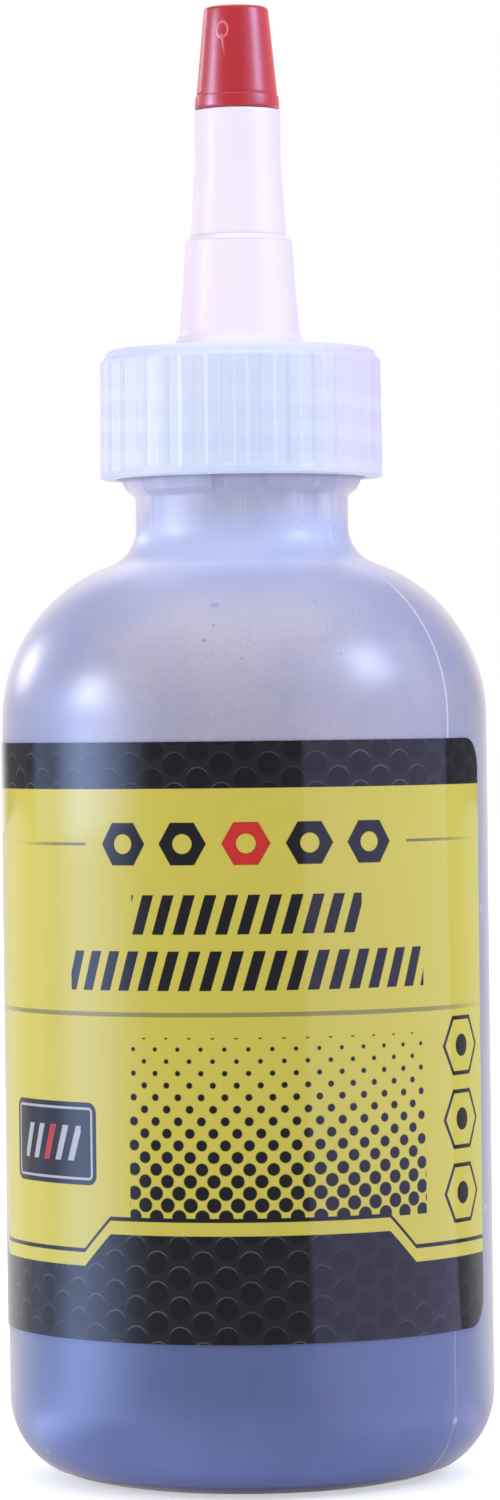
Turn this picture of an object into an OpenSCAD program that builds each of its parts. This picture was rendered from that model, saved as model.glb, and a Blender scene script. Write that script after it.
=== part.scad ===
// Squeeze bottle of powdered graphite with a screw-on dispensing spout, in millimetres.
// The origin is the centre of the bottle's foot, +Z is up, and the label's front faces -Y.

/* [Bottle] */
// Outer diameter of the straight body
body_d = 48.4; // [44:0.1:56]
// Wall thickness of the body and shoulder
body_wall = 1.0; // [0.8:0.05:1.6]
// Thickness of the floor
floor_t = 1.3; // [1:0.05:2.5]
// Radius of the rounded lower edge
base_edge_r = 8.3; // [4:0.1:9]
// Width of the flat ring that the bottle stands on
foot_w = 3.4; // [2:0.1:6]
// Height of the hollow under the floor
push_up_h = 1.6; // [0.6:0.1:3]
// Height of the straight side, up to where the shoulder starts
side_h = 75.3; // [60:0.1:95]
// Radius of the shoulder's curve
shoulder_r = 16.3; // [13:0.1:18]
// Radius of the hollow curve between shoulder and neck
neck_blend_r = 4.0; // [2:0.1:5]

/* [Pinch line] */
// Length of the mould's pinch line across the floor
pinch_l = 18; // [10:0.5:24]
// Width of the pinch line
pinch_w = 0.9; // [0.4:0.1:2]
// How far the pinch line stands out of the hollow floor
pinch_out = 0.4; // [0.2:0.05:0.5]

/* [Neck finish] */
// Height from the top of the shoulder's curve to the lip
neck_h = 18.3; // [16:0.1:24]
// Outer diameter of the neck, which is also the root of its thread
neck_d = 21.2; // [18:0.1:25]
// Wall thickness of the neck
neck_wall = 1.8; // [1.4:0.05:2.4]
// Radius of the lip's rounded edges
lip_edge_r = 0.5; // [0.1:0.05:0.8]
// Height from the top of the bead to the lip
finish_h = 10.3; // [9:0.1:12]
// Gap between the bead and the cap's skirt round it
bead_gap = 0.3; // [0.1:0.05:0.6]
// Height of the bead
bead_h = 2.1; // [1.6:0.1:3]
// Height of the bead's sloping underside
bead_slope_h = 1.5; // [0.3:0.1:2]
// Width of the mould's notch in the bead
bead_notch_w = 1.5; // [0.5:0.1:3]
// Depth of the mould's notch in the bead
bead_notch_depth = 0.35; // [0.1:0.05:0.8]

/* [Thread] */
// How far a thread stands out of its wall
thread_out = 1.3; // [0.9:0.05:1.6]
// Rise of the thread in one turn
thread_pitch = 3.175; // [2.7:0.005:3.8]
// Turns of thread on the neck
neck_turns = 1.25; // [1:0.05:1.4]
// Turns of thread in the cap
cap_turns = 1.5; // [1:0.05:1.7]
// Width of a thread where it meets its wall, as a share of the pitch
thread_root_share = 0.535; // [0.45:0.005:0.55]
// Width of a thread at its crest, as a share of the pitch
thread_crest_share = 0.22; // [0.16:0.005:0.28]
// Height from the top of the neck's thread to the lip
thread_to_lip = 1.2; // [0.8:0.1:1.4]
// Gap between a thread's crest and the other piece's wall
thread_gap = 0.3; // [0.2:0.05:0.5]
// Gap along the axis between the two threads' bearing sides
thread_play = 0.3; // [0.15:0.05:0.5]

/* [Seal liner] */
// Thickness of the foam ring
liner_t = 1.0; // [0.6:0.1:1.6]
// Diameter of the hole in the foam ring
liner_hole_d = 12; // [10.5:0.1:15]
// Gap round the foam ring
liner_side_gap = 0.35; // [0.1:0.05:0.6]
// Gap at the ring's two flat faces
seal_gap = 0.05; // [0.01:0.01:0.1]

/* [Cap] */
// How far the skirt reaches down over the bead
skirt_over_bead = 0.3; // [0.1:0.05:1.2]
// Wall thickness of the skirt between its bore and its ribs
skirt_wall = 1.45; // [1.1:0.05:2.2]
// How much smaller the cap is at its top, in diameter
cap_draft = 0.2; // [0:0.05:0.6]
// Thickness of the cap's deck
deck_t = 1.2; // [0.8:0.1:2]
// Radius of the cap's rounded upper edge
cap_edge_r = 0.8; // [0.5:0.1:2]
// Number of grip ribs
rib_count = 32; // [24:2:40]
// Width of a grip rib
rib_w = 1.35; // [0.8:0.05:1.6]
// Height of a grip rib over the skirt
rib_h = 0.45; // [0.2:0.05:0.6]
// Height of the plain rim under the ribs
rim_h = 0.65; // [0.4:0.05:1.5]
// Size of the slope at the ribs' upper ends
rib_end_h = 0.35; // [0.1:0.05:0.6]
// Size of the slope inside the skirt's lower edge
lead_in = 0.4; // [0.1:0.05:0.6]

/* [Spout] */
// Height of the spout from the deck to the ledge under the tip cap
spout_h = 23.9; // [20:0.1:30]
// Wall thickness of the spout
spout_wall = 1.1; // [0.8:0.05:1.3]
// Outer diameter of the spout at its foot
spout_foot_d = 12.1; // [11.5:0.1:14]
// Height of the spout's straight foot
spout_foot_h = 2.8; // [2:0.1:3.5]
// Radius of the hollow curve between spout and deck
spout_blend_r = 0.9; // [0.4:0.1:1.6]
// Outer diameter of the lower stage just over its foot
spout_low_d = 11.3; // [11:0.1:11.6]
// Height at which the foot has run out into the lower stage
spout_low_from = 5.2; // [4.5:0.1:6]
// Outer diameter of the lower stage at its upper end
spout_step_d = 10.7; // [10.4:0.1:11]
// Height of the lower stage
spout_step_h = 11.0; // [9:0.1:13]
// Height of the step's rounded edge
step_edge_r = 0.5; // [0.2:0.05:0.55]
// Outer diameter of the upper stage at its lower end
spout_up_d = 9.3; // [9:0.1:9.6]
// Outer diameter of the upper stage where its taper ends
spout_top_d = 8.6; // [8.5:0.1:8.9]
// Height of the upper stage's taper
spout_taper_h = 6.5; // [4:0.1:8]

/* [Nozzle] */
// Diameter of the outlet
outlet_d = 2.0; // [0.8:0.1:2.6]
// Length of the outlet's straight bore
outlet_l = 2.5; // [1:0.1:4]
// Wall thickness of the nozzle under the tip cap
nozzle_wall = 0.8; // [0.6:0.05:1]

/* [Tip cap] */
// Height of the tip cap
tip_h = 10.2; // [8:0.1:14]
// Outer diameter of the collar at the tip cap's mouth
tip_collar_d = 8.5; // [8.3:0.05:9.2]
// Height of the collar
tip_collar_h = 1.6; // [0.8:0.1:3]
// Outer diameter of the tip cap just over its collar
tip_low_d = 8.06; // [7.9:0.02:8.2]
// Outer diameter of the tip cap at its top
tip_top_d = 6.4; // [6:0.02:6.8]
// Radius of the tip cap's upper edge
tip_edge_r = 0.4; // [0.2:0.05:0.9]
// Wall thickness of the tip cap
tip_wall = 0.6; // [0.4:0.05:0.7]
// Thickness of the tip cap's end
tip_end_t = 0.8; // [0.5:0.1:1.5]
// Gap between the tip cap and the nozzle inside it
tip_fit = 0.05; // [0.02:0.01:0.1]
// Gap between the tip cap's mouth and the spout's ledge
tip_seat_gap = 0.1; // [0.05:0.01:0.3]

/* [Label] */
// Thickness of the label
label_t = 0.12; // [0.08:0.01:0.3]
// Thickness of the glue behind the label
glue_t = 0.03; // [0.01:0.01:0.06]
// Bare height between the rounded lower edge and the label
label_low_gap = 7.1; // [1:0.1:12]
// Bare height between the label and the shoulder
label_top_gap = 2.1; // [0.5:0.1:6]
// Radius of the label's corners
label_corner_r = 3; // [1:0.1:5]
// Direction of the label's right-hand end, in degrees from +X
label_end_angle = -20; // [-40:1:20]
// Angle left bare between the label's two ends
label_bare_angle = 27; // [10:1:60]

/* [Powder] */
// Height of the powder's level at the wall
powder_level = 61; // [30:1:70]
// How far the powder is heaped in its middle
powder_heap = 2.5; // [1:0.1:5]
// Gap between the powder and the wall
powder_gap = 0.05; // [0.01:0.01:0.2]

/* [Hidden] */
$fn = 96;

// How far a cut runs past the face it opens
overrun = 0.5;
// How much larger the label's corner arcs are than their radius
label_corner_share = 1.01;
// How far a joined shape reaches into its neighbour
sink = 0.3;
// Rings of a thread in one turn
thread_steps = 36;
// Turn over which a thread's end runs out
thread_fade = 0.08;
// Direction of the bead's notch, in degrees from +X
bead_notch_angle = -101;

body_r = body_d / 2;
neck_r = neck_d / 2;
mouth_r = neck_r - neck_wall;
thread_r = neck_r + thread_out;

// The skirt goes round the thread and the bead, and its ribs stand on its core
skirt_bore_r = thread_r + thread_gap;
bead_r = skirt_bore_r - bead_gap;
core_r = skirt_bore_r + skirt_wall;
cap_r = core_r + rib_h;

// Centre of the shoulder's curve, and of the hollow curve that leads into the neck
shoulder_x = body_r - shoulder_r;
blend_x = neck_r + neck_blend_r;
blend_reach = shoulder_r + neck_blend_r;
blend_z = side_h + sqrt(blend_reach ^ 2 - (blend_x - shoulder_x) ^ 2);

// The hollow under the floor is a shallow piece of a sphere
foot_inner_r = body_r - base_edge_r - foot_w;
push_up_r = (foot_inner_r ^ 2 + push_up_h ^ 2) / (2 * push_up_h);
push_up_z = push_up_h - push_up_r;

bottle_h = side_h + shoulder_r + neck_h;
bead_top = bottle_h - finish_h;

// Heights of the stack over the lip, and of the skirt round it
liner_z = bottle_h + seal_gap;
deck_z = liner_z + liner_t + seal_gap;
cap_top = deck_z + deck_t;
cap_z = bead_top - skirt_over_bead;
cap_h = cap_top - cap_z;

// Both threads lie on one helix, the cap's lower by the play and one thread's mean width
cap_crest_r = skirt_bore_r - thread_out;
thread_root_w = thread_root_share * thread_pitch;
thread_crest_w = thread_crest_share * thread_pitch;
thread_mean_w = (thread_root_w + thread_crest_w) / 2;
neck_thread_z = bottle_h - thread_to_lip - thread_root_w / 2 - neck_turns * thread_pitch;
cap_thread_z = cap_z + lead_in + thread_root_w;
cap_thread_angle = (cap_thread_z + thread_mean_w + thread_play - neck_thread_z) / thread_pitch * 360;

ledge_z = cap_top + spout_h;
tip_z = ledge_z + tip_seat_gap;
tip_taper_h = tip_h - tip_collar_h;
tip_slope = (tip_low_d - tip_top_d) / 2 / tip_taper_h;
nozzle_h = tip_h - tip_end_t;
nozzle_foot_r = tip_low_d / 2 + tip_collar_h * tip_slope - tip_wall - tip_fit;
nozzle_top_r = nozzle_foot_r - nozzle_h * tip_slope;

label_z = base_edge_r + label_low_gap;
label_h = side_h - label_top_gap - label_z;
label_in_r = body_r + glue_t;
label_out_r = label_in_r + label_t;
label_turn = 360 - label_bare_angle;

// Half-section of a post that tapers from r0 to r1 and has a rounded upper edge
module post_section(r0, r1, h, edge_r) {
    lean = atan((r0 - r1) / h);
    edge_x = r1 + edge_r * tan(lean) - edge_r / cos(lean);
    edge_z = h - edge_r;
    polygon([
        [0, 0],
        [r0, 0],
        [edge_x + edge_r * cos(lean), edge_z + edge_r * sin(lean)],
        [edge_x, h],
        [0, h],
    ]);
    translate([edge_x, edge_z])
        circle(edge_r);
}

// What rounding takes off an outer corner at the origin of material on the -x, -y side
module corner_cut(r) {
    difference() {
        translate([-r, -r])
            square([r + overrun, r + overrun]);
        translate([-r, -r])
            circle(r);
    }
}

// What a hollow curve adds in an inner corner at the origin, open to the +x, +y side
module corner_fill(r) {
    difference() {
        translate([-sink, -sink])
            square([r + sink, r + sink]);
        translate([r, r])
            circle(r);
    }
}

// The piece of a sphere under the floor, grown by t
module push_up_section(t) {
    intersection() {
        translate([0, push_up_z])
            circle(push_up_r + t);
        translate([0, -overrun])
            square([body_r, push_up_h + t + 2 * overrun]);
    }
}

// Straight side with a rounded lower edge, drawn in by t
module side_section(t, z) {
    r = body_r - t;
    edge_r = base_edge_r - t;
    translate([0, z + edge_r])
        square([r, side_h - z - edge_r]);
    translate([0, z])
        square([r - edge_r, edge_r]);
    translate([r - edge_r, z + edge_r])
        circle(edge_r);
}

// Shoulder from the straight side inwards, drawn in by t
module shoulder_section(t) {
    r = shoulder_r - t;
    intersection() {
        translate([shoulder_x, side_h])
            circle(r);
        translate([0, side_h - sink])
            square([body_r, r + sink]);
    }
    translate([0, side_h - sink])
        square([shoulder_x, r + sink]);
}

// Hollow curve where the shoulder rises into the neck
module neck_blend_section() {
    share = shoulder_r / blend_reach;
    touch_x = shoulder_x + (blend_x - shoulder_x) * share;
    touch_z = side_h + (blend_z - side_h) * share;
    difference() {
        polygon([
            [neck_r - sink, blend_z],
            [blend_x, blend_z],
            [touch_x, touch_z],
            [neck_r - sink, side_h],
        ]);
        translate([blend_x, blend_z])
            circle(neck_blend_r);
    }
}

module neck_section() {
    difference() {
        translate([0, side_h])
            square([neck_r, bottle_h - side_h]);
        translate([neck_r, bottle_h])
            corner_cut(lip_edge_r);
    }
    polygon([
        [0, bead_top - bead_h],
        [neck_r, bead_top - bead_h],
        [bead_r, bead_top - bead_h + bead_slope_h],
        [bead_r, bead_top],
        [0, bead_top],
    ]);
}

// The space inside the bottle, drawn in by the gap
module cavity_section(gap) {
    difference() {
        union() {
            side_section(body_wall + gap, floor_t + gap);
            shoulder_section(body_wall + gap);
            translate([0, side_h])
                square([mouth_r - gap, bottle_h - side_h + overrun]);
        }
        push_up_section(floor_t + gap);
    }
}

// A thread rises on the wall of radius root_r to its crest at crest_r, from the angle and height given
module thread(root_r, crest_r, from_angle, z, turns) {
    side = sign(crest_r - root_r);
    depth = abs(crest_r - root_r);
    steps = ceil(turns * thread_steps);
    inner_r = root_r - side * sink;
    function width(r) = thread_root_w - (thread_root_w - thread_crest_w) * side * (r - root_r) / depth;
    function rise(t) = min(1, t / thread_fade, (turns - t) / thread_fade);
    function crest(t) = (inner_r + root_r) / 2 + (crest_r - (inner_r + root_r) / 2) * rise(t);
    points = [
        for (i = [0:steps])
            let (t = turns * i / steps, r = crest(t), a = from_angle + 360 * t, h = z + thread_pitch * t)
                each [
                    for (p = [[inner_r, -1], [r, -1], [r, 1], [inner_r, 1]])
                        [p[0] * cos(a), p[0] * sin(a), h + p[1] * width(p[0]) / 2],
                ],
    ];
    sides = [
        for (i = [0:steps - 1], k = [0:3])
            let (a = 4 * i + k, b = 4 * i + (k + 1) % 4)
                each [[a, b, b + 4], [a, b + 4, a + 4]],
    ];
    last = 4 * steps;
    ends = [[2, 1, 0], [3, 2, 0], [last, last + 1, last + 2], [last, last + 2, last + 3]];
    faces = concat(sides, ends);
    polyhedron(points, side > 0 ? faces : [for (f = faces) [f[2], f[1], f[0]]]);
}

module bottle() {
    color([0.62, 0.66, 0.8]) {
        difference() {
            rotate_extrude() {
                difference() {
                    union() {
                        side_section(0, 0);
                        shoulder_section(0);
                        neck_blend_section();
                        neck_section();
                    }
                    cavity_section(0);
                    push_up_section(0);
                    translate([mouth_r, bottle_h])
                        mirror([1, 0])
                            corner_cut(lip_edge_r);
                }
            }
            rotate([0, 0, bead_notch_angle])
                translate([bead_r - bead_notch_depth, -bead_notch_w / 2, bead_top - bead_h])
                    cube([bead_notch_depth + overrun, bead_notch_w, bead_h + overrun]);
        }
        thread(neck_r, thread_r, 0, neck_thread_z, neck_turns);
        pinch_line();
    }
}

// Where the mould pinched the tube shut: a low bar that follows the hollow under the floor
module pinch_line() {
    difference() {
        intersection() {
            translate([-pinch_l / 2, -pinch_w / 2, 0])
                cube([pinch_l, pinch_w, push_up_h + floor_t]);
            translate([0, 0, push_up_z])
                sphere(push_up_r + floor_t / 2);
        }
        translate([0, 0, push_up_z - pinch_out])
            sphere(push_up_r);
    }
}

// What rounding takes off the label's corner. Its arc crosses both edges at a small angle, because an
// arc that only touches them can get lost when the solid is written as STEP.
module label_corner() {
    linear_extrude(label_out_r + overrun)
        difference() {
            translate([-label_corner_r, -label_corner_r])
                square([label_corner_r + overrun, label_corner_r + overrun]);
            translate([-label_corner_r, -label_corner_r])
                circle(label_corner_r * label_corner_share);
        }
}

module label() {
    color([0.83, 0.8, 0.35])
        difference() {
            translate([0, 0, label_z])
                rotate([0, 0, label_end_angle + label_bare_angle])
                    rotate_extrude(angle = label_turn)
                        translate([label_in_r, 0])
                            square([label_t, label_h]);
            for (end = [0, 1], up = [0, 1])
                rotate([0, 0, label_end_angle + end * label_bare_angle])
                    translate([0, 0, label_z + up * label_h])
                        mirror([0, end, 0])
                            mirror([0, 0, 1 - up])
                                rotate([90, 0, 90])
                                    label_corner();
        }
}

module graphite_powder() {
    color([0.25, 0.26, 0.3])
        rotate_extrude()
            intersection() {
                cavity_section(powder_gap);
                polygon([
                    [0, 0],
                    [body_r, 0],
                    [body_r, powder_level],
                    [0, powder_level + powder_heap],
                ]);
            }
}

module seal_liner() {
    color([0.95, 0.95, 0.93])
        translate([0, 0, liner_z])
            difference() {
                cylinder(h = liner_t, r = skirt_bore_r - liner_side_gap);
                translate([0, 0, -overrun])
                    cylinder(h = liner_t + 2 * overrun, r = liner_hole_d / 2);
            }
}

// Outside of the spout over the deck, up to the ledge under the tip cap, drawn in by t
module spout_section(t) {
    polygon([
        [0, -deck_t - (t > 0 ? overrun : 0)],
        [spout_foot_d / 2 - t, -deck_t - (t > 0 ? overrun : 0)],
        [spout_foot_d / 2 - t, spout_foot_h],
        [spout_low_d / 2 - t, spout_low_from],
        [spout_step_d / 2 - t, spout_step_h - t],
        [spout_step_d / 2 - t, spout_step_h + step_edge_r - t],
        [spout_up_d / 2 - t, spout_step_h + step_edge_r - t],
        [spout_top_d / 2 - t, spout_step_h + step_edge_r + spout_taper_h],
        [spout_top_d / 2 - t, spout_h - t],
        [0, spout_h - t],
    ]);
}

module grip_ribs() {
    intersection() {
        translate([0, 0, cap_z])
            linear_extrude(cap_h)
                for (i = [0:rib_count - 1])
                    rotate(i * 360 / rib_count)
                        translate([core_r - sink, -rib_w / 2])
                            square([rib_h + 2 * sink, rib_w]);
        translate([0, 0, cap_z])
            rotate_extrude()
                polygon([
                    [core_r - sink, rim_h / 2],
                    [cap_r, rim_h / 2],
                    [cap_r - cap_draft / 2, cap_h - cap_edge_r - rib_end_h],
                    [core_r - cap_draft / 2, cap_h - cap_edge_r],
                    [core_r - sink - cap_draft / 2, cap_h - cap_edge_r],
                ]);
    }
}

module spout_cap() {
    color([0.86, 0.89, 0.98]) {
        difference() {
            rotate_extrude() {
                translate([0, cap_z])
                    post_section(core_r, core_r - cap_draft / 2, cap_h, cap_edge_r);
                translate([0, cap_z])
                    square([cap_r, rim_h]);
                translate([0, cap_top]) {
                    difference() {
                        spout_section(0);
                        translate([spout_step_d / 2, spout_step_h + step_edge_r])
                            corner_cut(step_edge_r);
                    }
                    translate([spout_foot_d / 2, 0])
                        corner_fill(spout_blend_r);
                    translate([0, spout_h - nozzle_wall])
                        square([nozzle_foot_r, nozzle_wall]);
                    polygon([
                        [0, spout_h],
                        [nozzle_foot_r, spout_h],
                        [nozzle_top_r, spout_h + nozzle_h],
                        [0, spout_h + nozzle_h],
                    ]);
                }
            }
            rotate_extrude() {
                translate([0, cap_z - overrun])
                    square([skirt_bore_r, deck_z - cap_z + overrun]);
                translate([0, cap_z])
                    polygon([
                        [0, -overrun],
                        [skirt_bore_r + lead_in + overrun, -overrun],
                        [skirt_bore_r, lead_in],
                        [0, lead_in],
                    ]);
                translate([0, cap_top]) {
                    spout_section(spout_wall);
                    polygon([
                        [0, spout_h - spout_wall - sink],
                        [nozzle_foot_r - nozzle_wall, spout_h - spout_wall - sink],
                        [nozzle_foot_r - nozzle_wall, spout_h],
                        [nozzle_top_r - nozzle_wall, spout_h + nozzle_h - outlet_l],
                        [0, spout_h + nozzle_h - outlet_l],
                    ]);
                    translate([0, spout_h])
                        square([outlet_d / 2, nozzle_h + overrun]);
                }
            }
        }
        grip_ribs();
        thread(skirt_bore_r, cap_crest_r, cap_thread_angle, cap_thread_z, cap_turns);
    }
}

module tip_cap() {
    color([0.8, 0.2, 0.24])
        translate([0, 0, tip_z])
            rotate_extrude()
                difference() {
                    union() {
                        square([tip_collar_d / 2, tip_collar_h]);
                        translate([0, tip_collar_h])
                            post_section(tip_low_d / 2, tip_top_d / 2, tip_taper_h, tip_edge_r);
                    }
                    polygon([
                        [0, -overrun],
                        [nozzle_foot_r + tip_fit + overrun * tip_slope, -overrun],
                        [nozzle_top_r + tip_fit, tip_h - tip_end_t],
                        [0, tip_h - tip_end_t],
                    ]);
                }
}

bottle();
label();
graphite_powder();
seal_liner();
spout_cap();
tip_cap();
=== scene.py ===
# Looks of a squeeze bottle of graphite powder, in metres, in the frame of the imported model.
# +Z is up along the bottle's axis, and the front of its label faces -Y.
import math

import bmesh
import bpy
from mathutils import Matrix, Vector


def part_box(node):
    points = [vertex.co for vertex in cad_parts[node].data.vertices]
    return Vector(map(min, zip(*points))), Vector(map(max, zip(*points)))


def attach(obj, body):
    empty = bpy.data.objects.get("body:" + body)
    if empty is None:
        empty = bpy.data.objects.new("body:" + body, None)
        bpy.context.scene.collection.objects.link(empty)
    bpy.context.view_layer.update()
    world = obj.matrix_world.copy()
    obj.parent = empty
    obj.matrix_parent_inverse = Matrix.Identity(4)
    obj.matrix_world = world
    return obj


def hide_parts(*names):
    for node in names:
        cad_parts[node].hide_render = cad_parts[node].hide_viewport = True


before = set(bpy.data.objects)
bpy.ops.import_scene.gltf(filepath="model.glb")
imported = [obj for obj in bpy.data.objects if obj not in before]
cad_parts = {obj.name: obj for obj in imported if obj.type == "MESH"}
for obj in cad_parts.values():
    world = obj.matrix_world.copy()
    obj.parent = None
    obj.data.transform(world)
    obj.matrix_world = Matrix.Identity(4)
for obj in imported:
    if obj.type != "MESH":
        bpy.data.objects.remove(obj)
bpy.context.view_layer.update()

MM = 0.001
MM_PER_M = 1000


def low(node):
    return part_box(node)[0].z


def high(node):
    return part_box(node)[1].z


# Roundings shared by small edges
SHARP_R = 0.1 * MM
FINE_R = 0.2 * MM
SOFT_R = 0.3 * MM

# Bottle
BODY_R = -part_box("bottle")[0].x
WALL = 1.0 * MM
FLOOR_T = 1.3 * MM
BASE_EDGE_R = 8.3 * MM
FOOT_W = 3.4 * MM
FOOT_IN_R = BODY_R - BASE_EDGE_R - FOOT_W
FOOT_EDGE_R = 0.5 * MM
PUSH_UP_H = 1.6 * MM
PUSH_UP_R = (FOOT_IN_R ** 2 + PUSH_UP_H ** 2) / (2 * PUSH_UP_H)
FLOOR_KNEE_R = 6.0 * MM
FLOOR_KNEE_H = PUSH_UP_H * 0.75
SHOULDER_R = 16.3 * MM
NECK_BLEND_R = 4.0 * MM
NECK_R = 10.6 * MM
NECK_H = 18.3 * MM
MOUTH_R = 8.8 * MM
MOUTH_BLEND_H = 1.2 * MM
MOUTH_BLEND_DEG = 6
LIP_EDGE_R = 0.5 * MM
FINISH_H = 10.3 * MM
BEAD_R = 11.9 * MM
BEAD_H = 2.1 * MM
BEAD_SLOPE_H = 1.5 * MM
BEAD_FOOT_R = 0.4 * MM
BEAD_KNEE = 0.45 * MM
BEAD_KNEE_SHARE = 0.4
BEAD_KNEE_R = 0.5 * MM
BEAD_EDGE_R = 0.35 * MM
LIP_Z = high("bottle")
SIDE_H = LIP_Z - NECK_H - SHOULDER_R
BEAD_TOP = LIP_Z - FINISH_H
BEAD_Z = BEAD_TOP - BEAD_H

# Step of the mould's base part, at an angle of the lower edge's arc
BASE_STEP = 0.14 * MM
BASE_STEP_DEG = -60
BASE_STEP_RUN_DEG = 10
BASE_STEP_FACE_DEG = 0.7

# Other mould marks of the bottle, at angles from +X: the front is at -90 degrees
SEAM_ANGLES = (math.radians(-35), math.radians(145))
SEAM_W = 0.16 * MM
SEAM_OUT = 0.07 * MM
SEAM_INNER_R = MOUTH_R + 0.5 * MM
NOTCH_ANGLE = math.radians(-101)
NOTCH_W = 1.5 * MM
NOTCH_DEPTH = 0.35 * MM
NOTCH_SLOPE = 0.25 * MM
PINCH_L = 18.0 * MM
PINCH_W = 0.9 * MM
PINCH_OUT = 0.35 * MM
PINCH_SINK = 0.2 * MM

# Powder
POWDER_GAP = 0.06 * MM
POWDER_FLOOR_GAP = 0.1 * MM
POWDER_FLAT_R = 13.0 * MM
HEAP_H = 2.3 * MM
HEAP_TO_TOP = 2.5 * MM
HEAP_SIDE_H = 8.0 * MM
RIPPLE_H = 0.5 * MM

# Liner
LINER_HOLE_R = 6.0 * MM
LINER_EDGE_R = 0.15 * MM
LINER_PLAY = 0.05 * MM

# Thread
THREAD_PITCH = 3.175 * MM
THREAD_ROOT_W = 1.7 * MM
THREAD_CREST_W = 0.7 * MM
THREAD_OUT = 1.3 * MM
THREAD_PLAY = 0.3 * MM
THREAD_SINK = 0.2 * MM
THREAD_TO_LIP = 1.2 * MM
THREAD_FADE_TURNS = 0.08
THREAD_STEPS = 96
NECK_TURNS = 1.25
CAP_TURNS = 1.5
NECK_THREAD_Z = LIP_Z - THREAD_TO_LIP - THREAD_ROOT_W / 2 - NECK_TURNS * THREAD_PITCH

# Cap
CAP_Z = low("spout_cap")
DECK_T = 1.2 * MM
DECK_Z = high("seal_liner") + LINER_PLAY
CAP_TOP = DECK_Z + DECK_T
CAP_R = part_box("spout_cap")[1].x
RIB_COUNT = 32
RIB_W = 1.35 * MM
RIB_H = 0.45 * MM
RIB_FLANK = 0.36 * MM
RIB_REACH = 0.3 * MM
RIB_END_H = 0.45 * MM
RIB_END_RUN = 0.6 * MM
GROOVE_SHARE = 0.68
RIM_H = 0.54 * MM
RIM_RUN = 0.55 * MM
RIM_EDGE_H = 0.12 * MM
RIM_EDGE_SHARE = 0.4
CAP_EDGE_R = 0.8 * MM
CAP_DRAFT = 0.1 * MM
CORE_R = CAP_R - RIB_H
SKIRT_BORE_R = 12.2 * MM
DECK_CORNER_R = 0.4 * MM
LEAD_IN = 0.4 * MM

# Spout
SPOUT_WALL = 1.1 * MM
SPOUT_FOOT_R = 6.05 * MM
SPOUT_FOOT_H = 5.2 * MM
SPOUT_FOOT_FLARE = 0.12 * MM
SPOUT_FOOT_SWEEP_R = 2.1 * MM
SPOUT_LOW_R = 5.65 * MM
SPOUT_LOW_FLARE = 0.04 * MM
SPOUT_LOW_SWEEP_R = 6.0 * MM
SPOUT_STEP_R = 5.35 * MM
SPOUT_UP_R = 4.78 * MM
SPOUT_TOP_R = 4.3 * MM
TAPER_H = 7.6 * MM
TAPER_SWEEP_R = 9.0 * MM
STEP_Z = CAP_TOP + 11.0 * MM
STEP_DROP = 0.25 * MM
STEP_RISE = 0.4 * MM
STEP_EDGE_R = 0.15 * MM
BORE_FOOT_H = 2.8 * MM
BORE_FOOT_SWEEP_R = 3.0 * MM
BORE_STEP_H = 0.5 * MM
BORE_TAPER_H = 7.0 * MM
BORE_SWEEP_R = 4.0 * MM
NOZZLE_WALL = 0.8 * MM
NOZZLE_EDGE_R = 0.25 * MM
NOZZLE_TOP = high("spout_cap")
OUTLET_R = 1.0 * MM
OUTLET_L = 2.5 * MM
OUTLET_EDGE_R = 0.15 * MM

# Tip cap, and the nozzle that fits its bore
TIP_Z = low("tip_cap")
TIP_TOP = high("tip_cap")
TIP_COLLAR_R = 4.25 * MM
TIP_COLLAR_H = 1.6 * MM
TIP_COLLAR_DRAFT = 0.08 * MM
TIP_BAND_H = 1.3 * MM
TIP_GROOVE = 0.02 * MM
TIP_LOW_R = 4.03 * MM
TIP_TOP_R = 3.2 * MM
TIP_EDGE_R = 0.4 * MM
TIP_DISH = 0.03 * MM
TIP_WALL = 0.6 * MM
TIP_END_T = 0.8 * MM
TIP_UNEVEN = 0.02 * MM
TIP_FIT = 0.05 * MM
TIP_LEAD_IN = 0.2 * MM
TIP_SLOPE = (TIP_LOW_R - TIP_TOP_R) / (TIP_TOP - TIP_Z - TIP_COLLAR_H)
LEDGE_Z = TIP_Z - 0.1 * MM
NOZZLE_FOOT_R = TIP_LOW_R + TIP_COLLAR_H * TIP_SLOPE - TIP_WALL - TIP_FIT
NOZZLE_TOP_R = NOZZLE_FOOT_R - (NOZZLE_TOP - LEDGE_Z) * TIP_SLOPE

# Label, with the angle of its right end and the bare strip that follows it
LABEL_Z = low("label")
LABEL_TOP = high("label")
LABEL_IN_R = BODY_R + 0.03 * MM
LABEL_T = 0.12 * MM
LABEL_CORNER_R = 3.0 * MM
LABEL_END = math.radians(-20)
LABEL_BARE = math.radians(27)
LABEL_COLUMNS = 320
LABEL_ROWS = 24


# Outlines

def arc(x, z, r, start, end, steps):
    """Points of an arc round (x, z), from one angle to another in degrees."""
    angles = [math.radians(start + (end - start) * i / steps) for i in range(steps + 1)]
    return [(x + r * math.cos(a), z + r * math.sin(a)) for a in angles]


def towards(start, end):
    """The direction from one point to another, and their distance."""
    x, z = end[0] - start[0], end[1] - start[1]
    distance = math.hypot(x, z)
    return x / distance, z / distance, distance


def angle_from(a, b):
    """The shorter way from angle b to angle a."""
    return (a - b + math.pi) % (2 * math.pi) - math.pi


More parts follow.
